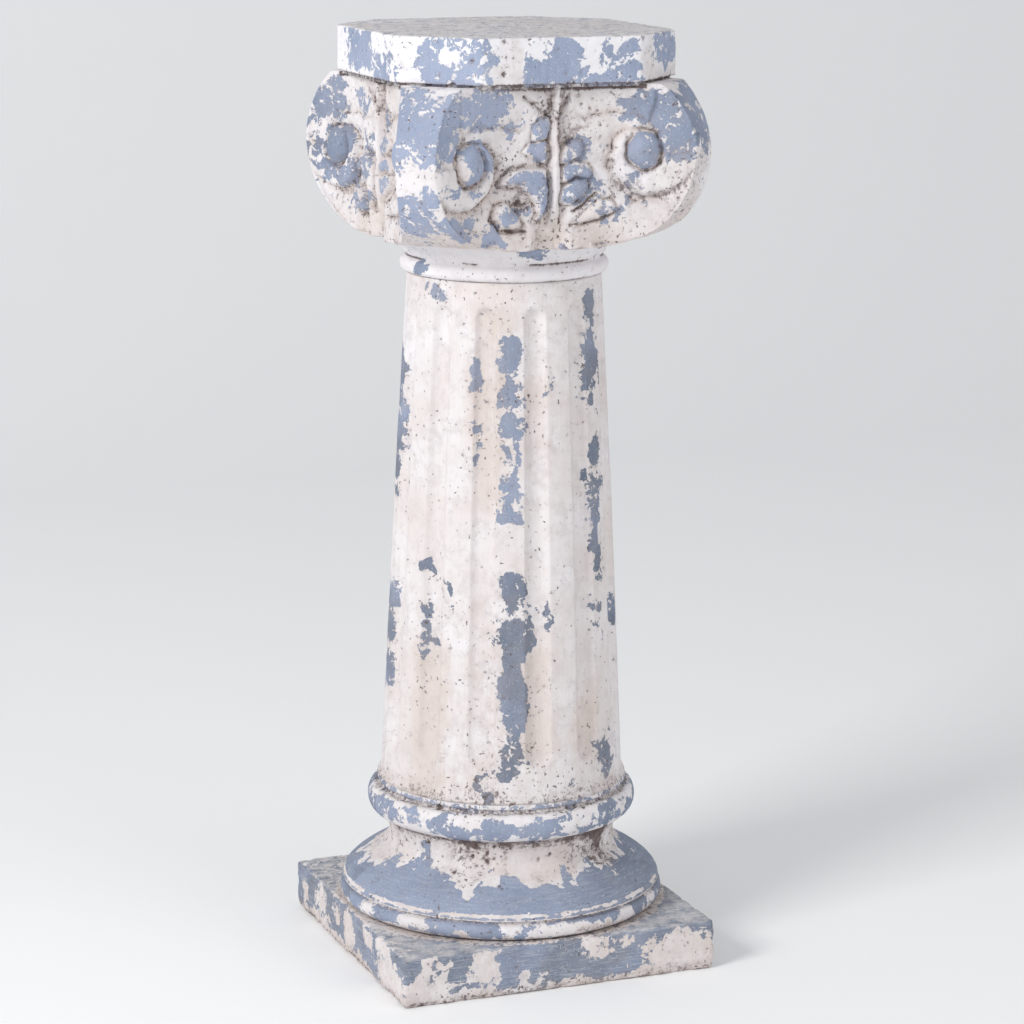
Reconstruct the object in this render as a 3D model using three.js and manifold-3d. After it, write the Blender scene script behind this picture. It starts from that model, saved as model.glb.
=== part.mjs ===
// Decorative column, cast in one piece: square plinth, round base, fluted shaft, necking ring,
// capital with four corner volutes, and a square slab with cut corners on top.
// Millimetres, +Z up, origin at the middle of the underside. The front face looks along -Y.

import * as THREE from 'three';
import { mergeVertices } from 'three/addons/utils/BufferGeometryUtils.js';
import Module from 'manifold-3d';

const wasm = await Module();
wasm.setup();

// Heights, stacked from the ground up
const plinthHeight = 43;
const beadHeight = 16;
const shoulderHeight = 41;
const scotiaHeight = 20;
const astragalHeight = 25;
const filletHeight = 7;
const flareHeight = 12;
const shaftHeight = 420;
const neckingHeight = 14;
const bellHeight = 16;
const voluteDrop = 74;      // from the volute's middle down to its lowest point
const voluteRise = 57;      // from the volute's middle up to the flat top of the capital
const creaseHeight = 2;     // the shadow line under the slab
const slabHeight = 38;

// Plinth and round base
const plinthSide = 280;
const baseMargin = 1;       // the base bead stops this far inside the plinth's edge
const shoulderInset = 2;    // the shoulder starts this far behind the bead
const astragalProud = 12;   // how far each moulding stands out from the foot of the shaft
const filletProud = 4;
const scotiaDepth = 6.5;    // how far the hollow cuts in behind the foot of the shaft
const shoulderEase = 0.38;  // share of the shoulder's height over which its curve turns
const astragalFullness = 0.7; // the thick ring's depth as a share of half its height

// Shaft and flutes
const shaftFootRadius = 103;
const shaftTopRadius = 81.5;
const entasis = 0.8;        // the swelling at the middle of the shaft
const neckingProud = 6;
const bellInset = 1.8;      // the bell's narrowest place, behind the neck ring
const bellInsetRise = 6.4;  // and how far above the ring it is
const bellFlare = 6;        // how far the bell stands out beyond the ring where the capital starts
const bellDepth = 26;       // how far it goes on widening inside the capital
const fluteCount = 13;
const fluteShare = 0.5;     // a flute's share of the way from one flute to the next
const fluteDepth = 4.5;
const fluteTurn = -3.5;     // degrees, the first flute's place beside the middle of the front
const fluteFootMargin = 17; // plain shaft below and above the flutes
const fluteTopMargin = 20;

// Capital: each face is hollow in plan and swings out to the corner tips
const faceReach = 111;      // from the axis to the middle of a face
const tipReach = 176;       // from the axis to a corner tip, along the diagonal
const tipWidth = 37;        // the plain scroll rim that closes each corner
const faceFlare = 3;        // power of the curve from the middle of a face to its tips
const eyeOffset = 72;       // from the middle of a face to a volute's eye
const eyeRadius = 15;
const eyeHeight = 8;
const grooveWidth = 3.2;
const grooveDepth = 4.5;
const voluteNarrowing = 0.92; // a volute is a little narrower than it is high
const voluteHeightening = 1.08;

// The two grooves that wind round an eye: start beyond the eye's rim, growth a radian, degrees from
// the top of the eye over the side of the face's middle
const longArm = { gap: 5, growth: 0.1655, from: 30, to: 340, steps: 11 };
const shortArm = { gap: 2, growth: 0.318, from: 270, to: 425, steps: 5 };

// Leaves beside the ridge, as shares of the volute's drop: place beside the middle and above the
// eyes, half length, half width and height, then the tilt in degrees
const leaves = [
  [-0.324, -0.216, 0.27, 0.135, 0.108, 15],
  [-0.5, -0.581, 0.162, 0.108, 0.081, -20],
  [-0.149, 0.122, 0.108, 0.149, 0.068, 0],
  [0.23, 0.135, 0.189, 0.095, 0.081, -28],
  [0.257, -0.122, 0.203, 0.095, 0.095, -28],
  [0.243, -0.351, 0.189, 0.095, 0.081, -28],
  [0.459, -0.608, 0.243, 0.068, 0.068, -14],
];
const ridgeWidth = 9;
const ridgeHeight = 8;
const ridgeFoot = 42;       // the ridge's ends, below and above the volutes' middle
const ridgeHead = 50;

// Slab
const slabSide = 246;
const slabCorner = 54;      // what is cut off each side at a corner
const creaseDepth = 4;

// Fineness
const roundSteps = 3 * fluteCount;
const rodSteps = 18;
const rimSteps = 28;
const faceSteps = 8;
const ringSteps = 12;
const lobeSteps = 8;
const arcSteps = 4;
const overlap = 1;          // how deep one form is let into the next before they are joined

// Levels that the heights add up to
const plinthTop = plinthHeight;
const beadTop = plinthTop + beadHeight;
const scotiaLevel = beadTop + shoulderHeight;
const astragalFoot = scotiaLevel + scotiaHeight;
const astragalTop = astragalFoot + astragalHeight;
const filletTop = astragalTop + filletHeight;
const shaftFoot = filletTop + flareHeight;
const shaftTop = shaftFoot + shaftHeight;
const neckingTop = shaftTop + neckingHeight;
const capitalFoot = neckingTop + bellHeight;
const eyeLevel = capitalFoot + voluteDrop;
const capitalTop = eyeLevel + voluteRise;
const slabFoot = capitalTop + creaseHeight;
const slabTop = slabFoot + slabHeight;

// Radii that follow from the shaft and the plinth
const beadRadius = plinthSide / 2 - baseMargin;
const shoulderRadius = beadRadius - shoulderInset;
const astragalRadius = shaftFootRadius + astragalProud;
const filletRadius = shaftFootRadius + filletProud;
const scotiaRadius = shaftFootRadius - scotiaDepth;
const neckingRadius = shaftTopRadius + neckingProud;

// Where a face ends at a corner tip, from its middle and from the axis
const tipOffset = (tipReach - tipWidth / 2) / Math.SQRT2;
const tipDepth = (tipReach + tipWidth / 2) / Math.SQRT2;

const radians = THREE.MathUtils.degToRad;

// A closed geometry as a solid that can be joined and cut
function solid(geometry) {
  geometry.deleteAttribute('normal');
  geometry.deleteAttribute('uv');
  const merged = mergeVertices(geometry, 1e-4);
  const index = merged.index.array;
  const triangles = [];
  for (let i = 0; i < index.length; i += 3) {
    const [a, b, c] = [index[i], index[i + 1], index[i + 2]];
    if (a !== b && b !== c && c !== a) triangles.push(a, b, c);
  }
  return new wasm.Manifold(new wasm.Mesh({
    numProp: 3,
    vertProperties: Float32Array.from(merged.attributes.position.array),
    triVerts: Uint32Array.from(triangles),
  }));
}

function joined(solids) {
  return solids.reduce((whole, next) => whole.add(next));
}

// An outline in the ground plane, raised from one level to another
function prism(points, bottom, top) {
  const shape = new THREE.Shape(points.map(([x, y]) => new THREE.Vector2(x, y)));
  const geometry = new THREE.ExtrudeGeometry(shape, { depth: top - bottom, bevelEnabled: false });
  geometry.translate(0, 0, bottom);
  return solid(geometry);
}

// A profile of [radius, level] points turned about the column's axis
function turned(profile, steps) {
  const points = profile.map(([radius, level]) => new THREE.Vector2(Math.max(radius, 0), level));
  const geometry = new THREE.LatheGeometry(points, steps);
  geometry.rotateX(Math.PI / 2);
  return solid(geometry);
}

// Points of an arc in a profile, its angles in degrees from straight out, going up
function arc(radius, level, halfWidth, halfHeight, from, to, steps) {
  const points = [];
  for (let i = 0; i <= steps; i += 1) {
    const angle = radians(from + ((to - from) * i) / steps);
    points.push([radius + halfWidth * Math.cos(angle), level + halfHeight * Math.sin(angle)]);
  }
  return points;
}

// Points of a smooth curve that leaves one place and reaches another upright
function ogee(start, end, lead, steps) {
  const curve = new THREE.CubicBezierCurve(
    new THREE.Vector2(start[0], start[1]),
    new THREE.Vector2(start[0], start[1] + lead),
    new THREE.Vector2(end[0], end[1] - lead),
    new THREE.Vector2(end[0], end[1]),
  );
  return curve.getPoints(steps).map((point) => [point.x, point.y]);
}

function plinth() {
  const half = plinthSide / 2;
  return prism([[-half, -half], [half, -half], [half, half], [-half, half]], 0, plinthTop);
}

// The shaft's radius at a level, with its slight swelling
function shaftRadius(level) {
  const way = (level - shaftFoot) / shaftHeight;
  const taper = THREE.MathUtils.lerp(shaftFootRadius, shaftTopRadius, way);
  return taper + entasis * Math.sin(Math.PI * way);
}

// Base mouldings, shaft, necking ring and bell in one profile, from the plinth into the capital
function turnedCore() {
  const beadRound = beadHeight / 2;
  const shoulderLead = shoulderHeight * shoulderEase;
  const astragalRound = astragalHeight / 2;
  const astragalThroat = astragalRadius - astragalRound * astragalFullness;
  const filletRound = filletHeight / 2;
  const neckingRound = neckingHeight / 2;
  const profile = [[0, plinthTop - overlap], [beadRadius - beadRound / 2, plinthTop - overlap]];
  profile.push(...arc(beadRadius - beadRound, plinthTop + beadRound,
    beadRound, beadRound, -60, 60, arcSteps));
  profile.push(...ogee([shoulderRadius, beadTop - overlap], [scotiaRadius, scotiaLevel], shoulderLead, 7));
  for (const way of [0.4, 0.75]) {
    profile.push([scotiaRadius + scotiaDepth * way * way, scotiaLevel + scotiaHeight * way]);
  }
  profile.push(...arc(astragalThroat, astragalFoot + astragalRound,
    astragalRadius - astragalThroat, astragalRound, -90, 85, 6));
  profile.push(...arc(filletRadius - filletRound, astragalTop + filletRound,
    filletRound, filletRound, -60, 60, 2));
  profile.push([shaftFootRadius + filletProud / 2, filletTop + flareHeight / 4]);
  const shaftRows = 2;
  for (let i = 0; i <= shaftRows; i += 1) {
    const level = shaftFoot + (shaftHeight * i) / shaftRows;
    profile.push([shaftRadius(level), level]);
  }
  profile.push(...arc(neckingRadius - neckingRound, shaftTop + neckingRound,
    neckingRound, neckingRound, -60, 60, arcSteps));
  profile.push([neckingRadius - bellInset, neckingTop + bellInsetRise]);
  profile.push([neckingRadius + bellFlare, capitalFoot + overlap]);
  profile.push([faceReach - grooveDepth, capitalFoot + bellDepth]);
  profile.push([faceReach - grooveDepth, capitalTop - overlap]);
  profile.push([0, capitalTop - overlap]);
  return turned(profile, roundSteps);
}

// One flute as a tapering rod with round ends, sunk into the shaft's side
function fluteCutter(number) {
  const halfWidth = (radius) => (Math.PI * radius * fluteShare) / fluteCount;
  const lowWidth = halfWidth(shaftFootRadius);
  const highWidth = halfWidth(shaftTopRadius);
  const rodRadius = (width) => (width * width + fluteDepth * fluteDepth) / (2 * fluteDepth);
  const low = shaftFoot + fluteFootMargin + lowWidth;
  const high = shaftTop - fluteTopMargin - highWidth;
  const lowRod = rodRadius(lowWidth);
  const highRod = rodRadius(highWidth);
  const endSteps = 3;
  const profile = [];
  for (let i = 0; i <= endSteps; i += 1) {
    const angle = (Math.PI / 2) * (i / endSteps);
    profile.push([lowRod * Math.sin(angle), low - lowRod * Math.cos(angle)]);
  }
  for (let i = 0; i <= endSteps; i += 1) {
    const angle = (Math.PI / 2) * (i / endSteps);
    profile.push([highRod * Math.cos(angle), high + highRod * Math.sin(angle)]);
  }
  const points = profile.map(([radius, level]) => new THREE.Vector2(Math.max(radius, 0), level));
  const geometry = new THREE.LatheGeometry(points, rodSteps);
  geometry.rotateX(Math.PI / 2);
  const lowPlace = shaftRadius(low) - fluteDepth + lowRod;
  const highPlace = shaftRadius(high) - fluteDepth + highRod;
  const lean = (lowPlace - highPlace) / (high - low);
  const leanIn = new THREE.Matrix4();
  leanIn.set(1, 0, 0, 0, 0, 1, lean, -lowPlace - lean * low, 0, 0, 1, 0, 0, 0, 0, 1);
  geometry.applyMatrix4(leanIn);
  geometry.rotateZ(radians(fluteTurn) + (2 * Math.PI * number) / fluteCount);
  return solid(geometry);
}

// How far a face stands from the axis, at a distance from its middle
function faceAt(offset) {
  return faceReach + (tipDepth - faceReach) * Math.pow(Math.abs(offset) / tipOffset, faceFlare);
}

// The capital seen from above: four hollow faces between four cut tips, set back by a depth
function capitalPlan(setBack) {
  const points = [];
  for (let side = 0; side < 4; side += 1) {
    for (let i = 0; i <= faceSteps; i += 1) {
      const offset = tipOffset * ((2 * i) / faceSteps - 1);
      const place = new THREE.Vector2(offset, setBack - faceAt(offset));
      place.rotateAround(new THREE.Vector2(), (Math.PI / 2) * side);
      points.push([place.x, place.y]);
    }
  }
  return points;
}

// The four scroll drums: round seen from the side, each lying across its own diagonal
function scrollDrums() {
  const drums = [];
  for (let corner = 0; corner < 4; corner += 1) {
    const geometry = new THREE.CylinderGeometry(voluteDrop, voluteDrop, 4 * faceReach, rimSteps);
    geometry.translate(tipReach - voluteDrop, 0, 0);
    geometry.rotateZ(Math.PI / 4 + (Math.PI / 2) * corner);
    geometry.translate(0, 0, eyeLevel);
    drums.push(solid(geometry));
  }
  return joined(drums);
}

// A flat outline on the front face, pushed from just behind the ground out past the tips
function faceCutter(points, turn) {
  const shape = new THREE.Shape(points.map(([across, level]) => new THREE.Vector2(across, level)));
  const geometry = new THREE.ExtrudeGeometry(shape, { depth: tipReach, bevelEnabled: false });
  geometry.rotateX(Math.PI / 2);
  geometry.translate(0, overlap + grooveDepth - faceReach, 0);
  geometry.rotateZ(turn);
  return solid(geometry);
}

// A groove along a spiral arm about a volute's eye, which gets narrow at its outer end
function spiralGroove(side, arm, turn) {
  const endShare = 0.3;
  const fadeSteps = 2;
  const outer = [];
  const inner = [];
  for (let i = 0; i <= arm.steps; i += 1) {
    const angle = radians(arm.from + ((arm.to - arm.from) * i) / arm.steps);
    const radius = (eyeRadius + arm.gap) * Math.exp(arm.growth * (angle - radians(arm.from)));
    const fade = Math.min(1, (arm.steps - i) / fadeSteps + endShare);
    for (const [list, sign] of [[outer, 1], [inner, -1]]) {
      const reach = radius + (sign * grooveWidth * fade) / 2;
      const across = side * (eyeOffset - reach * Math.sin(angle) * voluteNarrowing);
      list.push([across, eyeLevel + reach * Math.cos(angle) * voluteHeightening]);
    }
  }
  const outline = outer.concat(inner.reverse());
  return faceCutter(outline, turn);
}

// The ring groove around an eye
function eyeGroove(side, turn) {
  const disc = (radius) => {
    const points = [];
    for (let i = 0; i < ringSteps; i += 1) {
      const angle = (2 * Math.PI * i) / ringSteps;
      points.push([side * eyeOffset + radius * Math.cos(angle), eyeLevel + radius * Math.sin(angle)]);
    }
    return faceCutter(points, turn);
  };
  return disc(eyeRadius + grooveWidth).subtract(disc(eyeRadius));
}

// All the grooves of one face's two volutes
function faceGrooves(turn) {
  const grooves = [];
  for (const side of [-1, 1]) {
    grooves.push(eyeGroove(side, turn));
    grooves.push(spiralGroove(side, longArm, turn));
    grooves.push(spiralGroove(side, shortArm, turn));
  }
  return joined(grooves);
}

// A domed lobe on the front face: its middle, half length, half width, height and tilt in degrees
function lobe(turn, across, level, halfLength, halfWidth, height, tilt) {
  const geometry = new THREE.SphereGeometry(1, lobeSteps, lobeSteps / 2);
  geometry.rotateX(Math.PI / 2);
  geometry.scale(halfLength, height, halfWidth);
  geometry.rotateY(radians(tilt));
  geometry.rotateZ(-Math.atan((faceAt(across + 1) - faceAt(across - 1)) / 2));
  geometry.translate(across, -faceAt(across), level);
  geometry.rotateZ(turn);
  return solid(geometry);
}

// Eyes, middle ridge and leaves of one face
function faceOrnament(turn) {
  const ridge = new THREE.CapsuleGeometry(ridgeWidth / 2, ridgeFoot + ridgeHead, 2, 6);
  ridge.scale(1, 1, ridgeHeight / ridgeWidth * 2);
  ridge.rotateX(Math.PI / 2);
  ridge.translate(0, -faceReach, eyeLevel + (ridgeHead - ridgeFoot) / 2);
  ridge.rotateZ(turn);
  const lobes = leaves.map(([across, up, halfLength, halfWidth, height, tilt]) => lobe(
    turn,
    across * voluteDrop,
    eyeLevel + up * voluteDrop,
    halfLength * voluteDrop,
    halfWidth * voluteDrop,
    height * voluteDrop,
    tilt,
  ));
  lobes.push(lobe(turn, -eyeOffset, eyeLevel, eyeRadius, eyeRadius, eyeHeight, 0));
  lobes.push(lobe(turn, eyeOffset, eyeLevel, eyeRadius, eyeRadius, eyeHeight, 0));
  return joined([solid(ridge), ...lobes]);
}

// The same form on all four sides of the column
function onFourSides(form) {
  return joined([0, 1, 2, 3].map((side) => form((Math.PI / 2) * side)));
}

function capital() {
  const skin = prism(capitalPlan(0), capitalFoot, capitalTop);
  const ground = prism(capitalPlan(grooveDepth), capitalFoot, capitalTop);
  const carved = skin.subtract(onFourSides(faceGrooves)).add(ground);
  return carved.intersect(scrollDrums().add(drumFiller())).add(onFourSides(faceOrnament));
}

// The round block between the drums, which fills their hollow middle
function drumFiller() {
  const radius = tipReach - voluteDrop;
  return turned([[0, capitalFoot], [radius / 2, capitalFoot], [radius, eyeLevel],
    [radius, capitalTop], [0, capitalTop]], rimSteps);
}

// The slab's outline, or the narrower crease under it
function slabPlan(inset) {
  const half = slabSide / 2 - inset;
  const corner = slabCorner - inset * (2 - Math.SQRT2);
  return [
    [half, corner - half], [half, half - corner], [half - corner, half], [corner - half, half],
    [-half, half - corner], [-half, corner - half], [corner - half, -half], [half - corner, -half],
  ];
}

function slab() {
  const crease = prism(slabPlan(creaseDepth), capitalTop - overlap, slabFoot + overlap);
  return crease.add(prism(slabPlan(0), slabFoot, slabTop));
}

function column() {
  let core = turnedCore();
  for (let number = 0; number < fluteCount; number += 1) core = core.subtract(fluteCutter(number));
  return joined([plinth(), core, capital(), slab()]);
}

// Chalky white over slate blue; this one colour is the mean of the two
const paint = new THREE.MeshStandardMaterial({ color: 0xd3d6de, roughness: 0.92, metalness: 0 });

function meshOf(name, form, material) {
  const mesh = form.getMesh();
  const geometry = new THREE.BufferGeometry();
  geometry.setAttribute('position', new THREE.BufferAttribute(Float32Array.from(mesh.vertProperties), 3));
  geometry.setIndex(new THREE.BufferAttribute(Uint32Array.from(mesh.triVerts), 1));
  geometry.computeVertexNormals();
  const result = new THREE.Mesh(geometry, material);
  result.name = name;
  return result;
}

const group = new THREE.Group();
group.add(meshOf('column', column(), paint));

export default group;
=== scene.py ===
# %% [markdown]
# # A painted column with a scrolled capital
# The column is a casting about as high as a table. It has a square plinth, round mouldings, a fluted
# shaft, four scrolled corners and a flat slab that carries a pot. All sizes below are in millimetres
# and the meshes are scaled to metres at the end, because the drawing of the column is in millimetres.

# %% The frame and the drawn column
import math
import bpy
import numpy as np
from mathutils import Matrix, Vector


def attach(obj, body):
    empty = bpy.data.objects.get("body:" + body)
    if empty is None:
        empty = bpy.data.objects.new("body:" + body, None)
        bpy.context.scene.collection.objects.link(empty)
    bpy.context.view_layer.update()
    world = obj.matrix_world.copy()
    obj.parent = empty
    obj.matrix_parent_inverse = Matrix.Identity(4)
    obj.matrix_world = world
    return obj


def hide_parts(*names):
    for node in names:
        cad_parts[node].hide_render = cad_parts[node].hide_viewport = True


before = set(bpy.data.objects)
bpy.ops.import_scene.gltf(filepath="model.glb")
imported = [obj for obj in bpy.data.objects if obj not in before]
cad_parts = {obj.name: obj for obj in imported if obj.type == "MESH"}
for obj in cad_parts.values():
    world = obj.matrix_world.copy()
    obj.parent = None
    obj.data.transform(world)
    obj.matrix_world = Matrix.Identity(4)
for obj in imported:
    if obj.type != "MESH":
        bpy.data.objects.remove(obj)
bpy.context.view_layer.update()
mm = 0.001

# %% [markdown]
# Chalk paint on a rough casting is never even, so almost every step needs soft random values. They
# come from a small block of random numbers: a point in space is blended from its eight neighbours in
# the block. A fixed seed gives the same column each time.

# %% Soft random values in space
block = np.random.default_rng(11).random((32, 32, 32))


def cloud(points, size, layer=0):
    place = points / size + layer * 7.31
    cell = np.floor(place).astype(int)
    way = place - cell
    way = way * way * (3 - 2 * way)
    total = 0
    for corner in np.ndindex(2, 2, 2):
        share = np.prod([way[..., a] if far else 1 - way[..., a] for a, far in enumerate(corner)], axis=0)
        total = total + share * block[tuple((cell[..., a] + far) % 32 for a, far in enumerate(corner))]
    return total


def grain(points, size, layer=0, layers=3):
    total, weight, whole = 0, 1, 0
    for k in range(layers):
        total = total + weight * cloud(points, size / 2 ** k, layer + k)
        whole += weight
        weight *= 0.5
    return total / whole


def step(low, high, value):
    way = np.clip((value - low) / (high - low), 0, 1)
    return way * way * (3 - 2 * way)


sample = cloud(np.random.default_rng(3).random((1000, 3)) * 200, 10)
print("random values lie between", round(float(sample.min()), 2), "and", round(float(sample.max()), 2))

# %% [markdown]
# Each form except the shaft is laid out as rings of points, from the middle of its underside out, up
# its side and in to the middle of its top. Rings give a closed skin of four-sided faces, and they
# make it easy to say what a place on the skin is: how high, how far round, and how deep in a groove.

# %% A closed skin from rings of points
def outward(rings):
    along = np.roll(rings, -1, 1) - np.roll(rings, 1, 1)
    up = np.gradient(rings, axis=0)
    way = np.cross(along, up)
    return way / np.maximum(np.linalg.norm(way, axis=2, keepdims=True), 1e-9)


def skin(name, rings, foot, head):
    rows, cols, _ = rings.shape
    points = np.vstack([rings.reshape(-1, 3), [foot], [head]]) * mm
    r, c = np.meshgrid(np.arange(rows - 1), np.arange(cols), indexing="ij")
    n = (c + 1) % cols
    quads = np.stack([r * cols + c, r * cols + n, (r + 1) * cols + n, (r + 1) * cols + c], -1)
    ring = np.arange(cols)
    after = (ring + 1) % cols
    low = np.stack([np.full(cols, rows * cols), after, ring], -1)
    top = (rows - 1) * cols
    high = np.stack([np.full(cols, rows * cols + 1), top + ring, top + after], -1)
    mesh = bpy.data.meshes.new(name)
    mesh.from_pydata(points.tolist(), [], quads.reshape(-1, 4).tolist() + low.tolist() + high.tolist())
    mesh.update()
    piece = bpy.data.objects.new(name, mesh)
    bpy.context.scene.collection.objects.link(piece)
    return piece


def smooth_shading(piece):
    piece.data.polygons.foreach_set("use_smooth", [True] * len(piece.data.polygons))


def note(piece, **values):
    """Keeps one number per point under each name, for the paint to read."""
    for name, value in values.items():
        given = np.asarray(value, float).reshape(-1)
        full = np.full(len(piece.data.vertices), given[0] if given.size == 1 else 0.5)
        full[:given.size] = given
        place = piece.data.attributes.get(name) or piece.data.attributes.new(name, "FLOAT", "POINT")
        place.data.foreach_set("value", full.astype(np.float32))


def pits(points, number, seed, small, large, likely=None):
    """How deep each point lies in an air pit, for that many pits at random places."""
    chance = np.random.default_rng(seed)
    flat = points.reshape(-1, 3)
    depth = np.zeros(len(flat))
    if likely is not None:
        likely = likely.reshape(-1) / likely.sum()
    for middle in flat[chance.choice(len(flat), number, p=likely)]:
        size = chance.uniform(small, large)
        near = np.abs(flat - middle).max(1) < size
        away = np.linalg.norm(flat[near] - middle, axis=1) / size
        depth[near] = np.maximum(depth[near], size * 0.55 * step(1, 0.35, away))
    return depth.reshape(points.shape[:-1])


square = outward(np.array([[[1, 0, z], [0, 1, z], [-1, 0, z], [0, -1, z]] for z in (0, 1)], float))
print("a ring's first point faces", square[0, 0].round(2).tolist())

# %% [markdown]
# Paint doesn't wear evenly: whole patches are rubbed through and others are untouched. A patch is
# noted as its middle (degrees round the column and level), its half widths and how strong it is. The
# fine random patterns of the paint then make the patch's edge ragged.

# %% Patches of worn paint
def patchy(turn, level, patches, soft=2.0, whole=360):
    strongest = np.zeros(np.broadcast(turn, level).shape)
    for middle, height, half_turn, half_height, strength in patches:
        aside = np.abs((turn - middle + whole / 2) % whole - whole / 2) / (half_turn + soft / 2)
        above = np.abs(level - height) / (half_height + soft)
        away = (aside ** 3 + above ** 3) ** (1 / 3)
        strongest = np.maximum(strongest, strength * step(1.5, 0.45, away))
    return strongest


def strayed(points, turn, level, per_turn=1.75):
    """Turn and level, moved a few millimetres to and fro, so that patches lose their even outline."""
    aside = 11 * (cloud(points, 15, 31) - 0.5) + 8 * (cloud(points, 6, 33) - 0.5)
    up = 16 * (cloud(points, 17, 35) - 0.5) + 9 * (cloud(points, 6, 37) - 0.5)
    return turn + aside / per_turn, level + up


def turn_of(points):
    return np.degrees(np.arctan2(points[..., 1], points[..., 0]))


ends = [round(float(patchy(np.array([turn]), 0, [(0, 0, 10, 10, 1)])[0]), 2) for turn in (0, 10, 20)]
print("a patch at its middle, edge and beyond:", ends)

# %% [markdown]
# The plinth is a plain square block. Blocks like this leave the mould with slightly round edges, and
# the edges are where they are knocked, so both the rounding and the chips depend on how near a point
# is to an edge.

# %% Plinth
plinth_height = 43
plinth_half = 140


def square_ring(steps):
    way = np.arange(4 * steps) / steps
    side = way.astype(int)
    along = 2 * (way - side) - 1
    x = np.select([side == 0, side == 1, side == 2, side == 3], [along, 1, -along, -1])
    y = np.select([side == 0, side == 1, side == 2, side == 3], [-1, along, 1, -along])
    return np.stack([x, y], -1)


def rounded_edges(points, half, low, high, radius):
    inner_low = np.array([-half + radius, -half + radius, low + radius])
    inner_high = np.array([half - radius, half - radius, high - radius])
    core = np.clip(points, inner_low, inner_high)
    out = points - core
    far = np.linalg.norm(out, axis=-1, keepdims=True)
    return np.where(far > 1e-6, core + out / np.maximum(far, 1e-6) * np.minimum(far, radius), points)


ring = square_ring(140)
reach = np.concatenate([np.linspace(30, 136, 18), np.linspace(138, 140, 2), [140] * 22,
                        np.linspace(140, 100, 22)[1:], np.linspace(100, 10, 24)[1:]])
level = np.concatenate([[0] * 20, np.linspace(0, plinth_height, 24)[1:-1],
                        [plinth_height] * (len(reach) - 42)])
rings = np.dstack([ring[None, :, 0] * reach[:, None], ring[None, :, 1] * reach[:, None],
                   np.broadcast_to(level[:, None], (len(reach), len(ring)))])
to_walls = np.sort(np.stack([plinth_half - np.abs(rings[..., 0]), plinth_half - np.abs(rings[..., 1]),
                             np.minimum(rings[..., 2], plinth_height - rings[..., 2])], -1), -1)
edge = np.exp(-to_walls[..., 1] / 5)
rings = rounded_edges(rings, plinth_half, 0, plinth_height, 3)
chips = edge * 14 * np.maximum(grain(rings, 13, 3) - 0.52, 0)
low_band = step(12, 3, rings[..., 2]) * step(60, 110, np.abs(rings[..., :2]).max(-1))
rough = 0.5 * grain(rings, 30, 9) + (0.3 + 1.6 * low_band) * grain(rings, 6, 5)
dents = pits(rings, 120, 21, 1.2, 2.8)
rings = rings - outward(rings) * (chips + rough + dents)[..., None]
rings[..., 2] = np.clip(rings[..., 2], 0, plinth_height)
rings[:18, :, 2] = 0
plinth = skin("plinth", rings, [0, 0, 0], [0, 0, plinth_height - 0.5])
print("plinth:", len(plinth.data.vertices), "points")

# %% [markdown]
# On the plinth the blue stayed and the white is left in islands, mostly low down where the block was
# splashed and knocked. Front and left follow the photo. The top is dusty, with a crust beside the bead.

# %% Plinth: where its paint is worn
flat = np.abs(rings[..., :2])
side = np.select([-rings[..., 1] >= flat.max(-1) - 1e-6, rings[..., 0] >= flat.max(-1) - 1e-6,
                  rings[..., 1] >= flat.max(-1) - 1e-6], [0, 1, 2], 3)
across = np.choose(side, [rings[..., 0], rings[..., 1], -rings[..., 0], -rings[..., 1]])
front_chips = [(-118, 30, 7, 12, 0.8), (-102, 21, 4, 13, 0.8), (-68, 30, 8, 14, 1), (-81, 17, 3, 3, 1),
               (-33, 13, 4, 6, 0.8), (34, 37, 10, 9, 0.7), (58, 35, 6, 4, 0.6), (112, 14, 34, 19, 0.9),
               (-117, 8, 22, 10, 1)]
left_chips = [(-73, 26, 12, 11, 0.8), (4, 22, 11, 12, 0.85), (53, 33, 9, 8, 0.8), (88, 36, 16, 8, 0.9),
              (107, 14, 32, 12, 1), (-82, 2, 50, 6, 0.9), (-30, 30, 10, 8, 0.6), (-115, 20, 8, 12, 0.6)]
stray, height = strayed(rings, across, rings[..., 2], 1)
kept_coat = np.where(side % 2 == 0, patchy(stray, height, front_chips, 3, 9999),
                     patchy(stray, height, left_chips, 3, 9999))
kept_coat = np.maximum(kept_coat, step(12, 4, height))
on_top = step(plinth_height - 2.5, plinth_height - 0.8, rings[..., 2])
from_base = np.hypot(rings[..., 0], rings[..., 1]) - 139
crust = on_top * step(7, 1, from_base)
grey = on_top * step(-60, 60, rings[..., 1] - rings[..., 0])
worn = 0.86 - 0.86 * kept_coat
worn = np.where(on_top > 0.5, 0.85 - 0.25 * grey - 0.5 * crust, worn)
note(plinth, worn=worn, warm=0.95, grey=0.8 * on_top * (1 - crust), slate=0.95, flow=1,
     wax=0.14 + 0.14 * low_band + 0.17 * crust - 0.06 * on_top + dents * 0.1)
print("plinth, share in blue:", round(float((worn > 0.5).mean()), 2))

# %% [markdown]
# The mouldings between plinth and shaft were turned on the pattern for the mould, so they are one
# profile swept round the axis. The profile goes from the low bead up a wide S curve to a hollow, then
# over a thick ring and a thin fillet.

# %% Round mouldings at the foot
def arc(radius, level, out, up, start, end, steps):
    angle = np.radians(np.linspace(start, end, steps))
    return np.stack([radius + out * np.cos(angle), level + up * np.sin(angle)], -1)


def s_curve(start, end, lead, steps):
    t = np.linspace(0, 1, steps)[:, None]
    a, d = np.array(start, float), np.array(end, float)
    b, c = a + [0, lead], d - [0, lead]
    return (1 - t) ** 3 * a + 3 * (1 - t) ** 2 * t * b + 3 * (1 - t) * t ** 2 * c + t ** 3 * d


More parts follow.
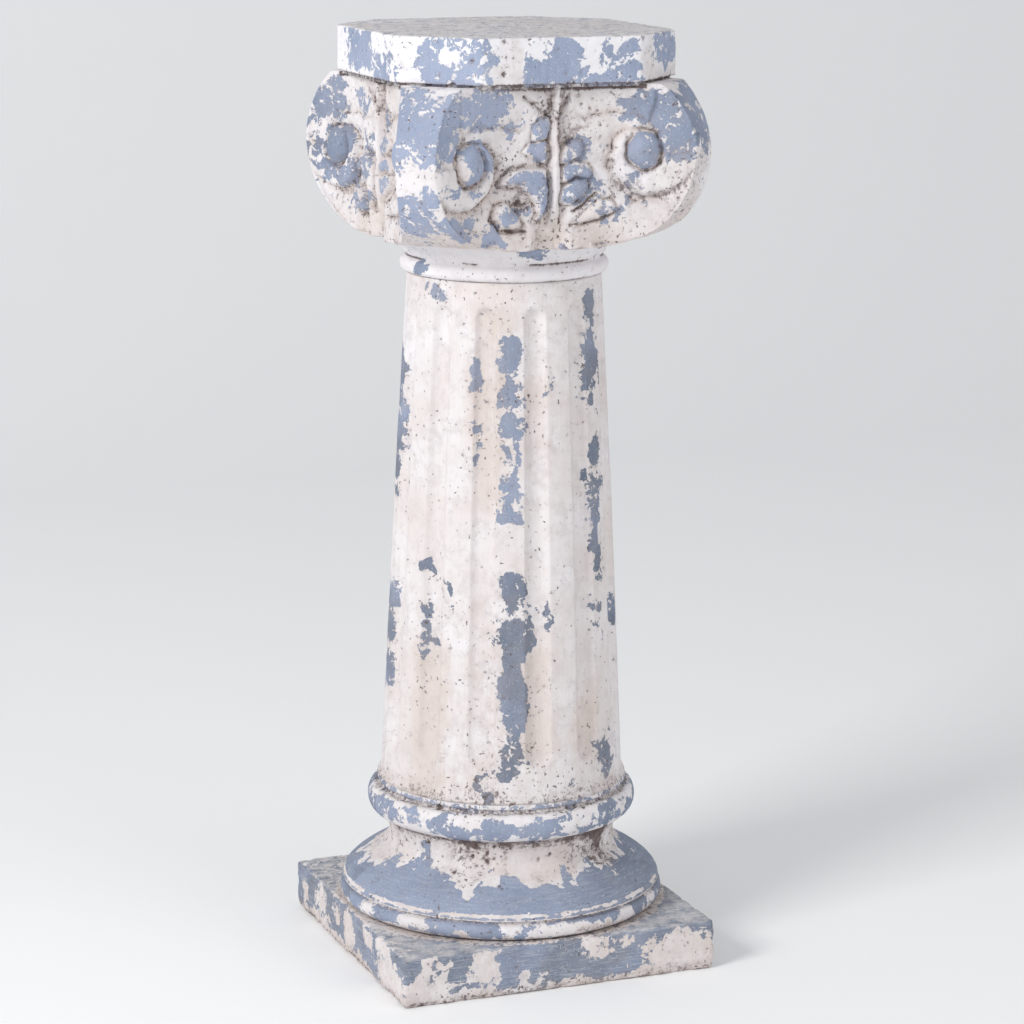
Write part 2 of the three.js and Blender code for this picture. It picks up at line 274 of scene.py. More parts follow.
def evenly(profile, spacing):
    gaps = np.linalg.norm(np.diff(profile, axis=0), axis=1)
    way = np.concatenate([[0], np.cumsum(gaps)])
    places = np.linspace(0, way[-1], int(way[-1] / spacing) + 1)
    return np.stack([np.interp(places, way, profile[:, 0]), np.interp(places, way, profile[:, 1])], -1)


def turned(profile, columns):
    angle = np.arange(columns) * 2 * np.pi / columns
    return np.dstack([profile[:, :1] * np.cos(angle), profile[:, :1] * np.sin(angle),
                      np.broadcast_to(profile[:, 1:], (len(profile), columns))])


profile = np.vstack([
    arc(131, 51, 8, 8, -85, 75, 20),
    s_curve([137, 59.5], [96.5, 100], 15.6, 40),
    [[97.3, 107], [100, 115]],
    arc(106.2, 132.5, 8.8, 12.5, -88, 84, 30),
    arc(103.5, 148.5, 3.5, 3.5, -70, 75, 8),
    [[104.2, 152.5]],
])
profile = evenly(profile, 1.25)
profile = np.vstack([[[60, 41.5], [110, 41.5], [128, 42]], profile, [[98, 153], [60, 153]]])
rings = turned(profile, 640)
creases = step(3.5, 0, np.abs(rings[..., 2] - 59.8)) + step(3, 0, np.abs(rings[..., 2] - 145.2))
rough = 0.7 * grain(rings, 34, 4) + 0.35 * grain(rings, 7, 2)
dents = pits(rings, 260, 5, 1.0, 2.6)
rings = rings - outward(rings) * (rough + dents + 0.6 * creases)[..., None]
base = skin("base_mouldings", rings, [0, 0, 41.5], [0, 0, 153])
print("base mouldings:", len(base.data.vertices), "points")

# %% [markdown]
# The blue of the wide shoulder ends in drips: its edge is a level for each direction round the column.
# Above it the hollow holds dirt, thickest under the ring, where no rain or cloth gets at it.

# %% Mouldings: where their paint is worn
level = rings[..., 2]
turn, height = strayed(rings, turn_of(rings), level)
drips = [(-186, 79), (-172, 84), (-163, 88), (-157, 95), (-144, 86), (-132, 83), (-125, 81), (-119, 89),
         (-110, 89), (-105, 83), (-93, 81), (-83, 86), (-77, 84), (-68, 94), (-62, 93), (-57, 85),
         (-45, 83), (-32, 92), (0, 84), (20, 90), (45, 82), (80, 88), (100, 83), (130, 91), (150, 82)]
drip_turns, drip_levels = np.array(drips).T
edge_of_blue = np.interp(turn, drip_turns, drip_levels, period=360)
on_shoulder = step(61, 62, level) * step(edge_of_blue + 5, edge_of_blue - 5, height)
line = step(2.2, 0.6, np.abs(level - 64.3)) * step(0.25, 0.5, grain(rings, 22, 17))
bead_chips = [(-165, 50, 4, 5, 0.7), (-144, 54, 5, 4, 0.8), (-108, 55, 4, 3, 0.8), (-95, 51, 6, 4, 0.8),
              (-84, 50, 5, 4, 0.8), (-63, 52, 3, 4, 0.8), (-41, 55, 4, 4, 0.7), (30, 52, 12, 5, 0.9),
              (75, 50, 8, 4, 0.8), (120, 54, 10, 4, 0.9)]
on_bead = step(60, 58, level) * (0.8 - 0.8 * patchy(turn, level, bead_chips)) * step(44, 51, height)
ring_chips = [(-158, 134, 2, 5, 0.7), (-147, 131, 2, 5, 0.7), (-128, 139, 6, 4, 0.8),
              (-104, 141, 5, 3, 0.6), (-82, 131, 3, 4, 0.8), (-74, 134, 3, 4, 0.8), (-48, 134, 3, 5, 0.6),
              (10, 134, 12, 6, 0.8), (60, 130, 9, 6, 0.8), (110, 136, 12, 6, 0.8)]
on_fillet = step(145, 147, level) * step(152, 150, level)
on_ring = step(119, 124, height) * step(146, 139, height) + 0.75 * on_fillet
on_ring = on_ring * (0.74 - 0.7 * patchy(turn, level, ring_chips))
worn = np.maximum.reduce([0.95 * on_shoulder * (1 - 0.85 * line), on_bead, on_ring])
worn = np.maximum(worn, patchy(turn, level, [(-153, 103, 3, 6, 0.9)]))
hollow = step(edge_of_blue - 2, edge_of_blue + 3, level) * step(122, 118, level)
darkening = hollow * (0.08 + 0.17 * step(106, 119, level) + 0.12 * step(8, 3, np.abs(turn + 58) / 2)
                 + 0.1 * step(0.45, 0.7, grain(rings * [1, 1, 0.35], 12, 25)))
foot = step(145, 149, level)
by_plinth = step(49, 45, height)
wax = 0.1 + darkening + 0.06 * foot + 0.2 * creases + 0.16 * by_plinth + 0.25 * step(44.5, 43, level)
# The slate share, rising from turn -95 to -55, darkens the blue on the side turned away from the left
# light: painted shade over the paint's own slate tone.
note(base, worn=worn, warm=0.5 + 0.3 * hollow + 0.4 * by_plinth + 0.4 * line, grey=0,
     slate=0.4 + 0.4 * step(-95, -55, turn), wax=wax + dents * 0.14,
     flow=0.6 * on_shoulder + 0.8 * hollow)
print("mouldings, share in blue:", round(float((worn > 0.5).mean()), 2))

# %% [markdown]
# The shaft follows a rule: a round form that gets thinner upwards with a slight swelling, and flutes
# with round ends at even steps. Geometry Nodes suit that, because the number of flutes, their depth
# and their share of the surface stay named inputs that can be changed later.

# %% Fluted shaft by Geometry Nodes
shaft_foot = 152
shaft_top = 584


def add(tree, kind, inputs=None, **settings):
    node = tree.nodes.new(kind)
    for name, value in settings.items():
        setattr(node, name, value)
    for name, value in (inputs or {}).items():
        if isinstance(value, bpy.types.NodeSocket):
            tree.links.new(value, node.inputs[name])
        else:
            node.inputs[name].default_value = value
    return node


def maths(tree, kind, *values):
    return add(tree, "ShaderNodeMath", dict(enumerate(values)), operation=kind).outputs[0]


def fluted_shaft():
    tree = bpy.data.node_groups.new("fluted shaft", "GeometryNodeTree")
    sizes = [("Flutes", 13), ("Foot radius", 103.0), ("Top radius", 81.5), ("Height", 432.0),
             ("Flare height", 12.0), ("Flare", 2.6), ("Swelling", 0.8), ("Flute depth", 5.0),
             ("Flute share", 0.46), ("Flute fullness", 3.2), ("Turn", math.radians(-93.5)),
             ("Foot margin", 28.0), ("Top margin", 20.0), ("Columns a flute", 34), ("Rows", 205)]
    for name, value in sizes:
        kind = "NodeSocketInt" if isinstance(value, int) else "NodeSocketFloat"
        tree.interface.new_socket(name, in_out="INPUT", socket_type=kind).default_value = value
    tree.interface.new_socket("Material", in_out="INPUT", socket_type="NodeSocketMaterial")
    tree.interface.new_socket("Shaft", in_out="OUTPUT", socket_type="NodeSocketGeometry")
    given = tree.nodes.new("NodeGroupInput").outputs

    def m(kind, *values):
        return maths(tree, kind, *values)

    columns = m("MULTIPLY", given["Flutes"], given["Columns a flute"])
    tube = add(tree, "GeometryNodeMeshCylinder", {"Vertices": columns, "Side Segments": given["Rows"],
               "Radius": 1.0, "Depth": 1.0}, fill_type="TRIANGLE_FAN")
    here = add(tree, "ShaderNodeSeparateXYZ", {0: add(tree, "GeometryNodeInputPosition").outputs[0]})
    x, y, z = here.outputs
    rim = m("SQRT", m("ADD", m("MULTIPLY", x, x), m("MULTIPLY", y, y)))
    angle = m("ARCTAN2", y, x)
    level = m("MULTIPLY", m("ADD", z, 0.5), given["Height"])
    straight = m("SUBTRACT", given["Height"], given["Flare height"])
    way = m("DIVIDE", m("SUBTRACT", level, given["Flare height"]), straight)
    taper = m("SUBTRACT", given["Foot radius"],
              m("MULTIPLY", way, m("SUBTRACT", given["Foot radius"], given["Top radius"])))
    swell = m("MULTIPLY", given["Swelling"], m("SINE", m("MULTIPLY", way, math.pi)))
    low = m("MAXIMUM", m("SUBTRACT", 1.0, m("DIVIDE", level, given["Flare height"])), 0.0)
    flare = m("MULTIPLY", given["Flare"], m("MULTIPLY", low, low))
    radius = m("ADD", m("ADD", taper, swell), flare)
    turns = m("MULTIPLY", m("DIVIDE", m("SUBTRACT", angle, given["Turn"]), 2 * math.pi), given["Flutes"])
    beside = m("SUBTRACT", turns, m("ROUND", turns))
    arc_length = m("MULTIPLY", m("DIVIDE", m("MULTIPLY", beside, 2 * math.pi), given["Flutes"]), radius)
    half_width = m("DIVIDE", m("MULTIPLY", m("MULTIPLY", radius, math.pi), given["Flute share"]),
                   given["Flutes"])
    low_end = m("ADD", given["Foot margin"], half_width)
    high_end = m("SUBTRACT", m("SUBTRACT", given["Height"], given["Top margin"]), half_width)
    beyond = m("MAXIMUM", m("MAXIMUM", m("SUBTRACT", low_end, level), m("SUBTRACT", level, high_end)), 0.0)
    away = m("DIVIDE", m("SQRT", m("ADD", m("MULTIPLY", arc_length, arc_length),
                                   m("MULTIPLY", beyond, beyond))), half_width)
    hollow = m("MAXIMUM", m("SUBTRACT", 1.0, m("POWER", away, given["Flute fullness"])), 0.0)
    reach = m("MULTIPLY", m("SUBTRACT", radius, m("MULTIPLY", hollow, given["Flute depth"])), rim)
    place = add(tree, "ShaderNodeCombineXYZ", {0: m("MULTIPLY", reach, m("COSINE", angle)),
                1: m("MULTIPLY", reach, m("SINE", angle)), 2: m("ADD", level, float(shaft_foot))})
    moved = add(tree, "GeometryNodeSetPosition", {"Geometry": tube.outputs["Mesh"],
                "Position": place.outputs[0]})
    marked = add(tree, "GeometryNodeStoreNamedAttribute", {"Geometry": moved.outputs[0],
                 "Name": "hollow", "Value": hollow}, data_type="FLOAT", domain="POINT")
    real = add(tree, "GeometryNodeRealizeInstances", {"Geometry": marked.outputs[0]})
    painted = add(tree, "GeometryNodeSetMaterial", {"Geometry": real.outputs[0],
                  "Material": given["Material"]})
    end = tree.nodes.new("NodeGroupOutput")
    tree.links.new(painted.outputs[0], end.inputs[0])
    return tree, dict(sizes)


tree, sizes = fluted_shaft()
print("shaft's tree:", len(tree.nodes), "nodes, inputs:", ", ".join(sizes))

# %% [markdown]
# The tree hangs on an empty mesh as a modifier. Its inputs are set by their identifiers, and the result
# is baked to plain points once, so that the dents and the paint can be laid on point by point.

# %% Shaft: set the sizes and bake
chalk = bpy.data.materials.new("chalk paint")
blank = bpy.data.objects.new("shaft", bpy.data.meshes.new("shaft blank"))
bpy.context.scene.collection.objects.link(blank)
nodes = blank.modifiers.new("fluted shaft", "NODES")
nodes.node_group = tree
for item in tree.interface.items_tree:
    if item.in_out == "INPUT":
        nodes[item.identifier] = chalk if item.name == "Material" else sizes[item.name]
shape = bpy.context.evaluated_depsgraph_get()
made = bpy.data.meshes.new_from_object(blank.evaluated_get(shape))
blank.modifiers.clear()
blank.data = made
shaft = blank
count = len(made.vertices)
points = np.empty(count * 3)
made.vertices.foreach_get("co", points)
points = points.reshape(-1, 3)
ways = np.empty(count * 3)
made.vertices.foreach_get("normal", ways)
ways = ways.reshape(-1, 3)
hollow = np.empty(count)
made.attributes["hollow"].data.foreach_get("value", hollow)
print("shaft:", count, "points, flutes:", sizes["Flutes"])

# %% [markdown]
# Long narrow patches of blue run down the ribs, where hands rub a column. Every flute keeps a beige
# film, some of it much darker near the foot. Air pits gather beside the patches, since the coat that
# filled them is gone there. The unseen back gets the front's patches once more, turned and upside down.

# %% Shaft: dents and where its paint is worn
turn, level = strayed(points, turn_of(points), points[:, 2])
rubbed = [
    (-107, 525, 6, 12, 1), (-110, 495, 4, 18, 1), (-103, 495, 3, 13, 0.6), (-107, 468, 6, 9, 1),
    (-104, 453, 2, 6, 0.9), (-111, 446, 1.4, 12, 0.7), (-105, 435, 2, 10, 0.9), (-106, 420, 6, 4, 0.8),
    (-107, 411, 6, 4, 0.8), (-106, 399, 4, 8, 0.9), (-105, 330, 7, 15, 0.8), (-106, 260, 6, 53, 1.2),
    (-98, 293, 2.5, 17, 1), (-106, 194, 6, 10, 0.75), (-109, 177, 4, 4, 0.9), (-120, 175, 2.3, 3, 0.9),
    (-123, 165, 2, 5, 0.9), (-117, 161, 3, 2, 0.9), (-126, 505, 2.4, 16, 1), (-127, 471, 2.5, 3, 0.8),
    (-126, 456, 2, 7, 0.8), (-128, 441, 1.3, 2, 0.9), (-120, 462, 4, 9, 0.3), (-53, 565, 6, 12, 1),
    (-53, 520, 6, 23, 1.2), (-60, 503, 2.5, 13, 0.9), (-42, 503, 4, 8, 0.9), (-55, 485, 3, 6, 0.9),
    (-52, 471, 2.5, 3, 0.7), (-54, 439, 5, 10, 0.9), (-55, 414, 7, 10, 0.8), (-55, 392, 6, 16, 0.9),
    (-56, 358, 4, 17, 1.1), (-51, 339, 3, 10, 0.7), (-57, 330, 2, 6, 0.7), (-57, 310, 3, 4, 0.7),
    (-58, 296, 2.4, 3, 0.7), (-32, 295, 5, 11, 0.8), (-53, 282, 1.5, 8, 0.5), (-53, 179, 5, 16, 0.9),
    (-47, 172, 3, 5, 0.7), (-78, 162, 1.6, 3, 0.7), (169, 499, 8, 16, 1), (170, 473, 8, 10, 1),
    (169, 446, 8, 15, 1), (168, 419, 8, 10, 1), (171, 396, 7, 5, 0.7), (171, 314, 8, 13, 1),
    (169, 281, 8, 16, 1), (171, 249, 8, 16, 1), (-152, 572, 5, 7, 0.9), (-162, 578, 3, 4, 0.7),
    (-87, 500, 2, 4, 0.6), (-153, 342, 4, 5, 1), (-155, 306, 2, 5, 0.8), (-154, 288, 2.4, 6, 0.8),
    (-151, 276, 5, 3, 0.8), (-155, 265, 1.5, 4, 0.7), (-140, 333, 1.7, 3, 0.7), (-139, 319, 1, 7, 0.6),
    (-88, 308, 2, 7, 0.7), (-95, 316, 2, 2, 0.7), (-140, 186, 1.6, 2, 0.7)]
behind = [(middle + 155, 748 - height, *rest) for middle, height, *rest in rubbed if -130 < middle < 0]
worn = patchy(turn, level, rubbed + behind, 1.6)
level = points[:, 2]
in_flute = step(0, 0.25, hollow)
stained = [(-94, 230, 6, 50, 1), (-67, 210, 5, 25, 0.8), (-120, 230, 6, 70, 0.8), (-149, 230, 7, 80, 0.8),
           (-120, 480, 6, 75, 0.8), (-120, 540, 6, 22, 0.8), (-94, 470, 5, 40, 0.5), (17, 230, 7, 70, 0.9),
           (100, 240, 7, 60, 0.8)]
stains = in_flute * patchy(turn, level, stained, 8)
near_patch = patchy(turn, points[:, 2], rubbed + behind, 9)
dents = pits(points, 520, 8, 0.8, 2.3, 0.12 + near_patch + stains)
rough = 0.6 * grain(points, 40, 6) + 0.3 * grain(points, 8, 1)
side = step(0.5, 0, np.abs(ways[:, 2]))
points = points - ways * ((rough + dents) * side)[:, None]
made.vertices.foreach_set("co", (points * mm).reshape(-1))
made.update()
foot = step(170, 154, level)
ends = in_flute * (step(215, 185, level) + step(535, 560, level))
beside_flute = np.exp(-((hollow - 0.12) / 0.1) ** 2)
wax = 0.06 * in_flute + 0.09 * beside_flute + 0.05 * ends + 0.14 * foot + 0.08 * stains + 0.08 * near_patch
# The slate share is the paint's own darker blue low down, plus painted shade on the side turned away from
# the left light (turn above -75).
note(shaft, worn=0.9 * worn, warm=0.7 * in_flute + 0.6 * stains + 0.1 * foot, grey=0, flow=0,
     slate=np.minimum(0.6 + 0.4 * step(-75, -60, turn) + 0.4 * step(400, 330, level), 1),
     wax=np.minimum(wax + dents * 0.25, 0.27))
print("shaft, share in blue:", round(float((worn > 0.5).mean()), 2))

# %% [markdown]
# A round ring closes the shaft at its top. Above it the bell widens and disappears into the capital.

# %% Neck ring
profile = np.vstack([arc(80.5, 591, 7, 7, -85, 72, 22),
                     [[82.4, 599.4], [84.4, 601.5], [86.5, 606], [92, 613], [98, 619], [101, 628]]])
profile = evenly(profile, 1.2)
profile = np.vstack([[[40, 583], [76, 583]], profile, [[80, 634], [40, 634]]])
rings = turned(profile, 480)
rough = 0.6 * grain(rings, 30, 14) + 0.4 * grain(rings, 6, 3)
dents = pits(rings, 120, 6, 1.0, 2.4)
rings = rings - outward(rings) * (rough + dents)[..., None]
neck = skin("neck_ring", rings, [0, 0, 583], [0, 0, 634])
creases = 1.5 * step(2, 0.4, np.abs(rings[..., 2] - 598.8)) + step(2.4, 0, np.abs(rings[..., 2] - 585))
creases = creases * step(0.35, 0.55, grain(rings, 30, 7))
worn = patchy(*strayed(rings, turn_of(rings), rings[..., 2]), [(-163, 594, 5, 4, 1), (-95, 612, 9, 3, 0.8),
              (-40, 610, 8, 4, 0.6), (60, 592, 9, 5, 0.9), (120, 600, 10, 6, 0.9)])
note(neck, worn=0.08 + 0.85 * worn, warm=0.3, grey=0, slate=0.5, flow=0,
     wax=0.1 + 0.22 * creases + dents * 0.12)
print("neck ring:", len(neck.data.vertices), "points")

# %% [markdown]
# The capital is a block with four hollow faces that meet in four scrolled corners. From the side each
# corner is round like a drum, and its narrow rim runs down over it. Every ring of points follows that
# outline at its own level. The carving is then a height over each face: spirals are grooves
# at a distance from a drawn line, eyes and leaves are domes.

# %% Capital: the block
eye_level = 688
drum_radius = 74
drum_middle = 102
face_reach = 111
tip_offset = 111.4
tip_depth = 137.5


def face_at(across):
    return face_reach + (tip_depth - face_reach) * (np.abs(across) / tip_offset) ** 3


def corner_reach(level):
    return drum_middle + np.sqrt(np.maximum(drum_radius ** 2 - (level - eye_level) ** 2, 0))


def face_end(reach):
    across = np.linspace(0, 130, 1301)
    return np.interp(reach * math.sqrt(2), across + face_at(across), across)


face_columns = 188
rim_columns = 26
levels = np.concatenate([[614.0, 614.3, 615, 616], np.linspace(617, 745.5, 92)])
rows = []
for z in levels:
    end = face_end(corner_reach(z))
    u = end * np.linspace(-1, 1, face_columns)
    face = np.stack([u, -face_at(u)], -1)
    nxt = np.array([face_at(end), -end])
    t = np.linspace(0, 1, rim_columns + 2)[1:-1, None]
    quarter = np.vstack([face, face[-1] * (1 - t) + nxt * t])
    ring = []
    for side in range(4):
        c, s = [(1, 0), (0, 1), (-1, 0), (0, -1)][side]
        ring.append(np.stack([quarter[:, 0] * c - quarter[:, 1] * s,
                              quarter[:, 0] * s + quarter[:, 1] * c, np.full(len(quarter), z)], -1))
    rows.append(np.vstack(ring))
block_rings = np.array(rows)
across = np.array([face_end(corner_reach(z)) * np.linspace(-1, 1, face_columns) for z in levels])
print("capital block:", block_rings.shape)

# %% [markdown]
# A scroll is two lines that wind round an eye: the long one goes once round it, the short one leaves
# towards the slab. Each is written as how far it is from the eye at some angles. The carver placed each
# eye a little differently. The leaves are outlines in millimetres beside the middle of the face and
# above eye level, and they rise from their edge like a cushion.

# %% Capital: the carving
eye_places = {(0, -1): (76, -3), (0, 1): (73, 4.5), (1, -1): (74, -2), (1, 1): (72, 2), (2, -1): (75, 3),
              (2, 1): (72, -3), (3, -1): (76, -4), (3, 1): (73, 1)}
eye_wide = 12.7
eye_high = 15.4
long_angles, long_reach = [-40, 0, 45, 90, 135, 180, 225, 265], [15, 17, 19.5, 23, 29, 34.5, 38, 40]
short_angles, short_reach = [-40, -16, -2, 13, 32, 50, 62], [15, 20.5, 24.5, 28, 33, 42, 52]


def winding(angles, reach):
    angle = np.linspace(angles[0], angles[-1], 110)
    far = np.interp(angle, angles, reach)
    return np.stack([-far * np.sin(np.radians(angle)), far * np.cos(np.radians(angle))], -1)


def to_line(line, u, z):
    best = np.full(u.shape, 1e9)
    for x, y in line:
        best = np.minimum(best, (u - x) ** 2 + (z - y) ** 2)
    return np.sqrt(best)


def inside_by(outline, u, z):
    """How far a place is inside an outline; outside it is negative."""
    best = np.full(u.shape, 1e9)
    within = np.zeros(u.shape, bool)
    for (ax, az), (bx, bz) in zip(outline, outline[1:] + outline[:1]):
        ex, ez = bx - ax, bz - az
        t = np.clip(((u - ax) * ex + (z - az) * ez) / (ex * ex + ez * ez), 0, 1)
        best = np.minimum(best, np.hypot(u - ax - t * ex, z - az - t * ez))
        crosses = (az > z) != (bz > z)
        within ^= crosses & (u < ax + (z - az) / (ez if ez else 1e-9) * ex)
    return np.where(within, best, -best)


long_line, short_line = winding(long_angles, long_reach), winding(short_angles, short_reach)
leaves = [
    ([(-4, 34), (-12, 31), (-19, 24), (-20, 16), (-14, 13), (-6, 15), (-4, 22)], 3, 0.3),
    ([(-7, 13), (-14, 14), (-22, 11), (-27, 5), (-22, 1), (-14, -3), (-8, -6)], 4, 0.4),
    ([(-7, -9), (-16, -8), (-26, -7), (-35, -8), (-42, -13), (-46, -20), (-38, -23), (-33, -21), (-28, -25),
      (-22, -29), (-18, -35), (-16, -44), (-19, -52), (-13, -52), (-9, -40), (-7, -26)], 8, 0.85),
    ([(4, -6), (4, 4), (9, 9), (16, 14), (23, 13), (26, 7), (22, 0), (15, -4), (10, -7)], 5, 0.45),
    ([(4, -19), (4, -8), (12, -5), (22, -4), (30, -8), (33, -14), (29, -18), (20, -16), (12, -20)], 6, 0.5),
    ([(5, -35), (4, -22), (12, -20), (20, -17), (28, -19), (30, -25), (24, -32), (15, -36), (8, -38)],
     6, 0.4),
    ([(14, -54), (24, -44), (36, -36), (48, -35), (54, -42), (46, -48), (30, -51)], 3, 0.15),
    ([(-54, -44), (-50, -36), (-41, -34), (-35, -39), (-32, -47), (-26, -52), (-36, -57), (-48, -55)],
     6, 0.4),
]
cuts = [([(-28, 50), (-18, 41), (-4, 31)], 0.95), ([(11, 49), (6, 40), (2, 31)], 0.7),
        ([(15, -43), (24, -38), (34, -29)], 1.25), ([(-55, -47), (-46, -57), (-26, -58)], 1.3),
        ([(14, -55), (32, -52), (50, -47)], 0.8), ([(8, 12), (18, 22), (28, 24)], 0.5)]


scratches = [(-6, 41, 13, 12, 1), (8, 52, 26, 4, 0.9), (20, 25, 11, 11, 1), (42, -20, 13, 17, 1),
             (60, -26, 10, 8, 0.9), (-37, -20, 9, 10, 0.8), (-49, -4, 4, 7, 0.7), (-70, -48, 14, 7, 0.8)]
print("leaves on a face:", len(leaves), "cuts:", len(cuts), "scratched places:", len(scratches))

# %% [markdown]
# This function gives the height of the carving at a place on a face, and with it how dark its creases
# are, where the domes keep the blue paint, and where the ground is scratched. The steps are in the
# order in which a carver would work: scroll, eye, ridge, leaves, cuts.

# %% Capital: the height of the carving


def carving(u, z, side):
    beside, up = np.abs(u), z - eye_level
    left, right = eye_places[side, -1], eye_places[side, 1]
    out = beside - np.where(u < 0, left[0], right[0])
    above = up - np.where(u < 0, left[1], right[1])
    around = np.hypot(out, above)
    angle = (np.degrees(np.arctan2(-out, above)) + 40) % 360 - 40
    reach = np.interp(angle, long_angles, long_reach)
    to_long, to_short = to_line(long_line, out, above), to_line(short_line, out, above)
    eye_edge = np.hypot(out / eye_wide, above / eye_high)
    band = np.clip((around - 14) / np.maximum(reach - 14, 1), 0, 1)
    inside = (around < reach) & (angle < 265)
    height = 2.4 * np.sin(np.pi * band ** 0.8) * inside
    beyond = np.maximum(around - reach, 0)
    beside_scroll = step(15, 60, angle) * step(240, 200, angle) * step(0, 1.8, beyond)
    height = height - 6.5 * beside_scroll * np.exp(-beyond / 18)
    shorter = np.interp(angle, short_angles, short_reach)
    over = np.maximum(around - shorter, 0) * (angle < 62)
    height = height - 3 * step(0, 1.8, over) * np.exp(-over / 8)
    height = height - 2.6 * step(2.2, 0, to_long) - 1.6 * step(2, 0, to_short)
    height = height - 3.5 * np.exp(-((eye_edge - 1.1) / 0.12) ** 2)
    eye = 8.5 * np.sqrt(np.maximum(1 - eye_edge ** 2, 0)) - 1.5
    height = np.where(eye_edge < 1, np.maximum(height, eye), height)
    gap = np.exp(-((around - 35) / 16) ** 2) * step(255, 275, angle + 360 * (angle < -10))
    height = height - 2.5 * gap
    dome = step(1.04, 0.96, eye_edge) * np.where((side == 0) & (u < 0), step(0.45, 0.3, out / eye_wide), 1)
    dome = np.maximum(dome, (u < 0) * (eye_edge > 1.12) * (around < 21) * (angle > 5) * (angle < 105))
    round_eye = np.exp(-((eye_edge - 1.06) / 0.07) ** 2) * step(-0.6, 0.5, (out - above) / 15)
    crease = np.maximum.reduce([0.5 * np.exp(-(to_long / 1.1) ** 2) * step(70, 130, angle),
                                0.6 * np.exp(-(to_short / 1.1) ** 2), round_eye])
    height = height - 4 * step(16, 3, beside) * step(-60, -50, up)
    ridge_half = 3.4 - 0.02 * up
    ridge = 5 * np.sqrt(np.maximum(1 - (u / ridge_half) ** 2, 0)) * step(-58, -30, up)
    height = np.maximum(height, np.where(np.abs(u) < ridge_half, ridge - 2, -99))
    by_ridge = np.exp(-((u + ridge_half + 1.5) / 1.6) ** 2) * step(-50, -40, up) * step(20, -10, up)
    crease = np.maximum(crease, 0.35 * by_ridge)
    leaf = np.zeros_like(height)
    for outline, high, line in leaves:
        depth = inside_by(outline, u, up)
        edge = np.clip(depth / 5.5, 0, 1)
        cushion = high * np.sqrt(1 - (1 - edge) ** 2) - 3
        height = np.where(depth > 0, np.maximum(height, cushion), height - 2 * np.exp(-(depth / 2.2) ** 2))
        crease = np.maximum(crease * (depth < 1.5), 0.7 * line * np.exp(-depth ** 2))
        leaf = np.maximum(leaf, (high > 3) * step(0.5, 3, depth) * step(-58, -40, up))
    height = height - 7 * np.exp(-(((u + 29) / 7) ** 2 + ((up + 37) / 7) ** 2))
    crease = np.maximum(crease, 1.2 * np.exp(-(((u + 28) / 7) ** 2 + ((up + 36) / 6) ** 2)))
    height = height - 2 * np.exp(-(((u + 39) / 5) ** 2 + ((up + 44) / 4) ** 2))
    for way, dark in cuts:
        x, y = np.array(way).T
        t = np.linspace(0, 1, 30)
        knots = np.linspace(0, 1, len(x))
        gap = to_line(np.stack([np.interp(t, knots, x), np.interp(t, knots, y)], -1), u, up)
        height = height - 2.6 * step(2.6, 0, gap)
        crease = np.maximum(crease, dark * np.exp(-(gap / 1.2) ** 2))
    height = height - 7 * step(-44, -66, up) * step(17, 6, np.abs(u + 4))
    scratched = patchy(u, up, scratches, 3, 9999)
    return height, np.clip(crease, 0, 1.3), np.maximum(dome, 0.75 * leaf), scratched


# %% [markdown]
# The height is laid over all four faces and fades out before the corner rims. The places are first
# moved a millimetre or two to and fro, so that no carved line looks ruled. Then the block gets its
# rough skin, its pits and a crumbly lower edge.

# %% Capital: carving laid over the block
height = np.zeros(block_rings.shape[:2])
crease = np.zeros_like(height)
eye_paint = np.zeros_like(height)
scratched = np.zeros_like(height)
foot_of_ridge = np.zeros_like(height)
span = face_columns + rim_columns
for side in range(4):
    part = slice(side * span, side * span + face_columns)
    place = block_rings[:, part]
    astray = 3.4 * (cloud(place, 13, 41) - 0.5) + 2.2 * (cloud(place, 5, 43) - 0.5)
    lifted = 3.4 * (cloud(place, 13, 45) - 0.5) + 2.2 * (cloud(place, 5, 47) - 0.5)
    h, c, eye_paint[:, part], scratched[:, part] = carving(across + astray, place[..., 2] + lifted, side)
    foot_of_ridge[:, part] = patchy(across + astray, place[..., 2] + lifted, [(-3, 635, 10, 11, 1)],
                                    3, 9999)
    fade = step(1.0, 0.95, np.abs(across) / np.abs(across).max(1, keepdims=True))
    height[:, part], crease[:, part] = h * fade, c * fade


def soften(rings, passes):
    for _ in range(passes):
        rings = (np.roll(rings, 1, 1) + 2 * rings + np.roll(rings, -1, 1)) / 4
    return rings


def levelled(grid, passes):
    for _ in range(passes):
        grid = (np.roll(grid, 1, 1) + grid + np.roll(grid, -1, 1)) / 3
        grid = (np.vstack([grid[:1], grid[:-1]]) + grid + np.vstack([grid[1:], grid[-1:]])) / 3
    return grid


sunken = np.clip((levelled(height, 22) - height) / 2.5, 0, 1)
body = soften(block_rings, 6)
ways = outward(body)
ways[..., 2] *= 0.4
ways /= np.linalg.norm(ways, axis=-1, keepdims=True)
turn, stray_level = strayed(body, turn_of(body), body[..., 2])
level = body[..., 2]
cracked = patchy(turn, level, [(-50, 672, 6, 16, 1), (-50, 648, 9, 14, 1), (40, 660, 9, 20, 0.8)])
rough = 0.6 + 1.2 * sunken + 1.3 * scratched + 2.4 * cracked
rough = 0.9 * grain(body, 26, 8) + rough * grain(body, 6, 12)
rough = rough + 3.0 * step(634, 616, body[..., 2]) * step(0.35, 0.75, grain(body, 24, 27))
dents = pits(body, 700, 31, 0.8, 2.2)
body = body + ways * (height - rough - dents)[..., None]
under = body[0] * [0.93, 0.93, 1] + [0, 0, 3.5]
deep = body[0] * [0.82, 0.82, 1] + [0, 0, 13]
core = body[0] * [0.5, 0.5, 1] + [0, 0, 20]
over = body[-1] * [0.7, 0.7, 1]
middle = body[-1] * [0.3, 0.3, 1]
rings = np.concatenate([[core, deep, under], body, [over, middle]])
limit = 139.6
rings[..., :2] = np.clip(rings[..., :2], -limit, limit)
